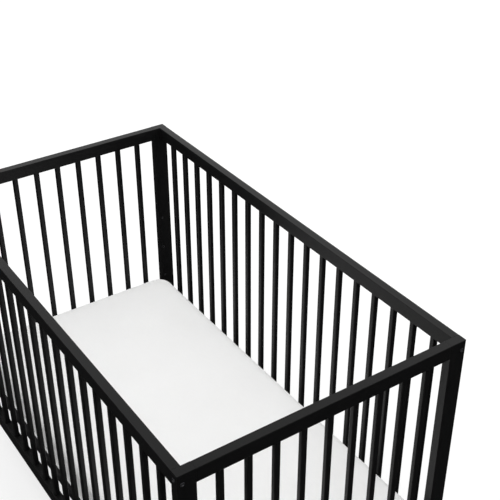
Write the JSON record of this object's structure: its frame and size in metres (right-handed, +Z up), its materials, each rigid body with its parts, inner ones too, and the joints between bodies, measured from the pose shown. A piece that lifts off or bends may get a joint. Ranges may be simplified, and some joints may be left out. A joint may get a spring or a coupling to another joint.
{
  "type": "baby crib",
  "caption": "Rectangular baby crib with fixed slatted sides on square posts, a bolt-on mattress support that sets at several heights, and a loose mattress.",
  "frame": {"origin": "on the floor, under the middle of the crib", "axes": "+X along the length, +Y across the width, +Z up; the crib stands on the plane Z = 0"},
  "size_m": [1.3804, 0.7644, 0.889],
  "materials": {
    "painted_timber": "satin",
    "support_steel": "satin",
    "bolt_steel": "satin",
    "glide_plastic": "matte",
    "mattress_cover": "matte"
  },
  "bodies": {
    "crib_frame": {"bolt_back_bottom_rail_left": "bolt_steel", "bolt_back_bottom_rail_right": "bolt_steel", "bolt_back_top_rail_left": "bolt_steel", "bolt_back_top_rail_right": "bolt_steel", "bolt_front_bottom_rail_left": "bolt_steel", "bolt_front_bottom_rail_right": "bolt_steel", "bolt_front_top_rail_left": "bolt_steel", "bolt_front_top_rail_right": "bolt_steel", "bolt_left_bottom_rail_back": "bolt_steel", "bolt_left_bottom_rail_front": "bolt_steel", "bolt_left_top_rail_back": "bolt_steel", "bolt_left_top_rail_front": "bolt_steel", "bolt_right_bottom_rail_back": "bolt_steel", "bolt_right_bottom_rail_front": "bolt_steel", "bolt_right_top_rail_back": "bolt_steel", "bolt_right_top_rail_front": "bolt_steel", "bottom_rail_back": "painted_timber", "bottom_rail_front": "painted_timber", "bottom_rail_left": "painted_timber", "bottom_rail_right": "painted_timber", "glide_back_left": "glide_plastic", "glide_back_right": "glide_plastic", "glide_front_left": "glide_plastic", "glide_front_right": "glide_plastic", "post_back_left": "painted_timber", "post_back_right": "painted_timber", "post_front_left": "painted_timber", "post_front_right": "painted_timber", "setting_bolt_back_left": "bolt_steel", "setting_bolt_back_right": "bolt_steel", "setting_bolt_front_left": "bolt_steel", "setting_bolt_front_right": "bolt_steel", "slats_back": "painted_timber", "slats_front": "painted_timber", "slats_left": "painted_timber", "slats_right": "painted_timber", "top_rail_back": "painted_timber", "top_rail_front": "painted_timber", "top_rail_left": "painted_timber", "top_rail_right": "painted_timber"},
    "mattress_support": {"hook_bracket_back_left": "support_steel", "hook_bracket_back_right": "support_steel", "hook_bracket_front_left": "support_steel", "hook_bracket_front_right": "support_steel", "support_angle_back": "support_steel", "support_angle_front": "support_steel", "support_angle_left": "support_steel", "support_angle_right": "support_steel", "support_strap_1": "support_steel", "support_strap_2": "support_steel", "support_strap_3": "support_steel", "support_strap_4": "support_steel", "support_strap_5": "support_steel", "support_strap_6": "support_steel", "support_strap_7": "support_steel"},
    "mattress": {"mattress": "mattress_cover"}
  },
  "joints": [
    {"name": "support_height", "type": "slide", "parent": "crib_frame", "child": "mattress_support", "axis": [0, 0, 1], "range_m": [0, 0.345]},
    {"name": "mattress_lift", "type": "slide", "parent": "mattress_support", "child": "mattress", "axis": [0, 0, 1], "range_m": [0, 0.7]}
  ]
}
